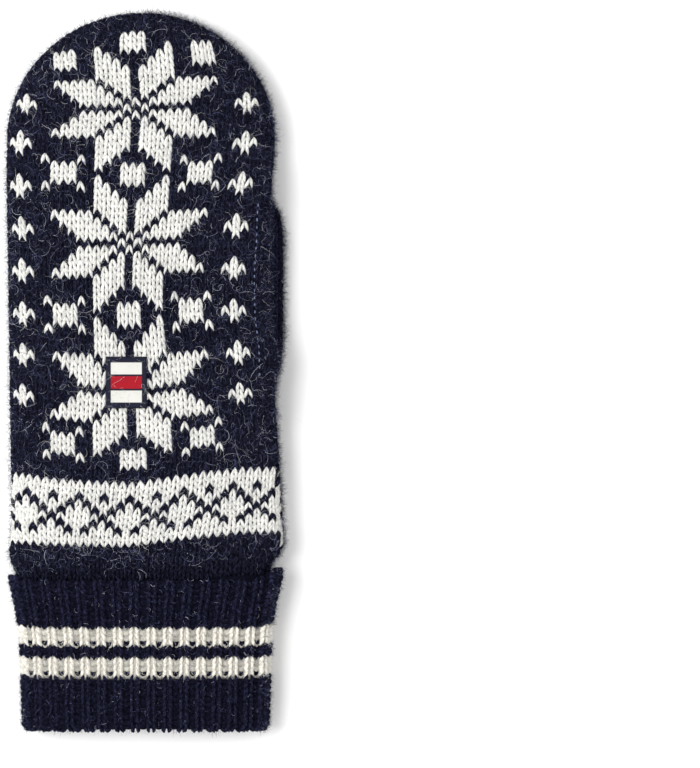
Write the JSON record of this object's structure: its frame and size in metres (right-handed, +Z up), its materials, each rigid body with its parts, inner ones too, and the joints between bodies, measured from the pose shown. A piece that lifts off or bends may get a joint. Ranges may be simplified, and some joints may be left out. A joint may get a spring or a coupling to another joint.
{
  "type": "knitted mitten",
  "caption": "Thick knitted wool mitten for the left hand, lying palm down, with star pattern, ribbed turned-up cuff, folded thumb and open wrist.",
  "frame": {"origin": "on the table under the middle of the mitten", "axes": "+Y from the folded wrist edge to the fingertip, +X to the thumb's side, +Z up through the back of the hand"},
  "size_m": [0.1111, 0.288, 0.0278],
  "materials": {
    "patterned_wool": "brushed, hairy two-colour knit in navy and natural white",
    "plain_wool": "brushed, hairy plain navy knit",
    "ribbed_wool": "ribbed navy knit with two cream stripes",
    "woven_patch": "close woven ribbon, slightly shiny"
  },
  "bodies": {
    "root": {"hand": "patterned_wool", "thumb": "plain_wool", "cuff": "ribbed_wool", "label": "woven_patch"}
  },
  "joints": []
}
